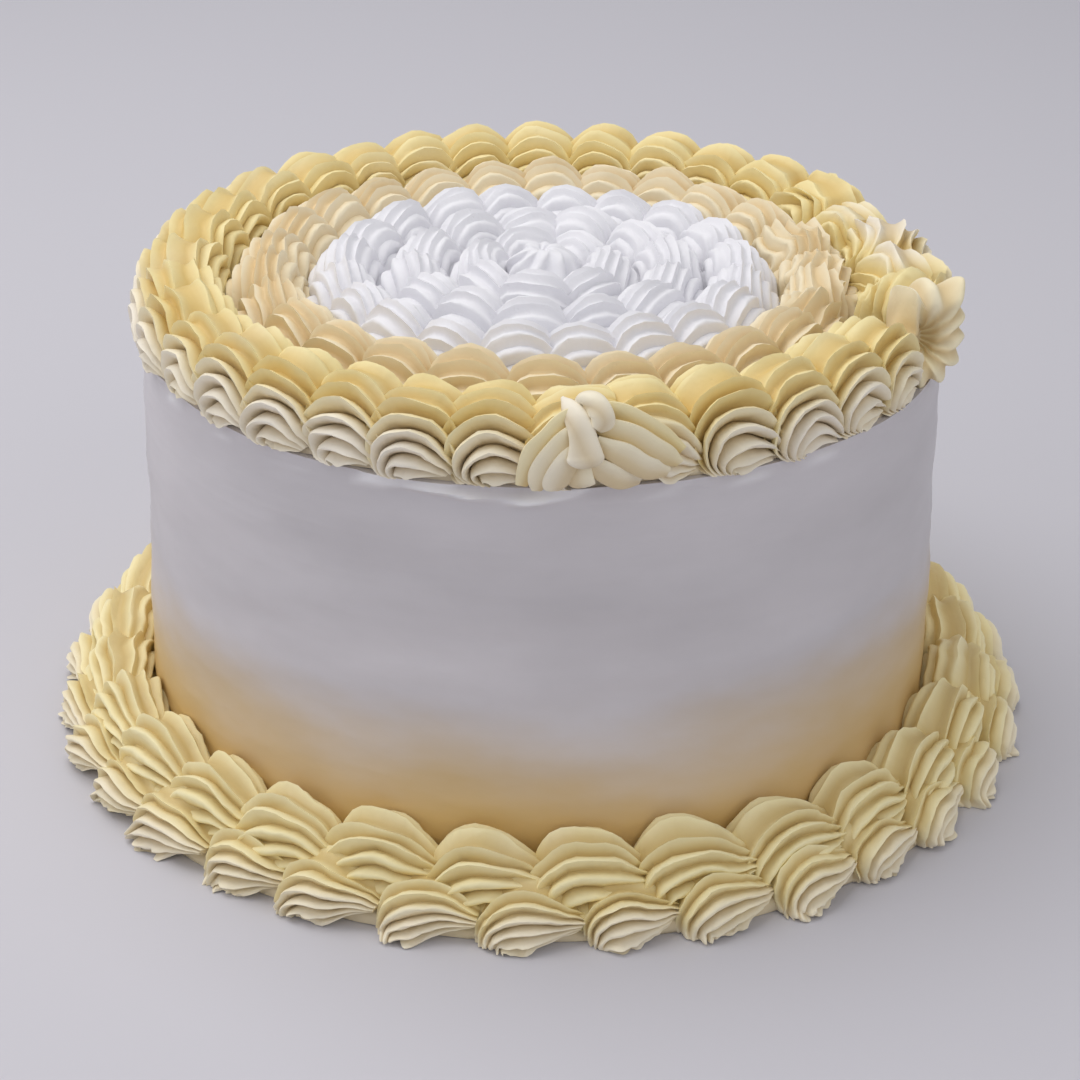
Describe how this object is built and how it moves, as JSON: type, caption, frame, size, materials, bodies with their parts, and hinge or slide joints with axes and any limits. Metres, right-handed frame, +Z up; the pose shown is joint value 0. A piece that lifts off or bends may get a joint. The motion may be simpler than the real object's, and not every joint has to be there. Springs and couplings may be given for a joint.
{
  "type": "layer cake",
  "caption": "Round cream-coated layer cake with piped shell borders in yellow and apricot, a white piped centre and a double shell border round the foot.",
  "frame": {"origin": "centre of the cake's flat underside", "axes": "+Z up, -Y towards the side that the picture shows"},
  "size_m": [0.3299, 0.3296, 0.1699],
  "materials": {
    "coat": "satin smooth cream coat",
    "rim_cream": "satin piped cream, yellow on its upper faces",
    "apricot_cream": "satin piped cream, apricot",
    "white_cream": "satin piped cream, white",
    "foot_cream": "satin piped cream, pale yellow"
  },
  "bodies": {
    "root": {"coated_cake": "coat", "rim_row_long": "rim_cream", "rim_row_short": "rim_cream", "rim_join_curl": "rim_cream", "rim_star_drop": "rim_cream", "apricot_row": "apricot_cream", "white_row_outer": "white_cream", "white_row_middle": "white_cream", "white_row_inner": "white_cream", "white_centre_drop": "white_cream", "foot_row_upper": "foot_cream", "foot_row_lower": "foot_cream"}
  },
  "joints": []
}
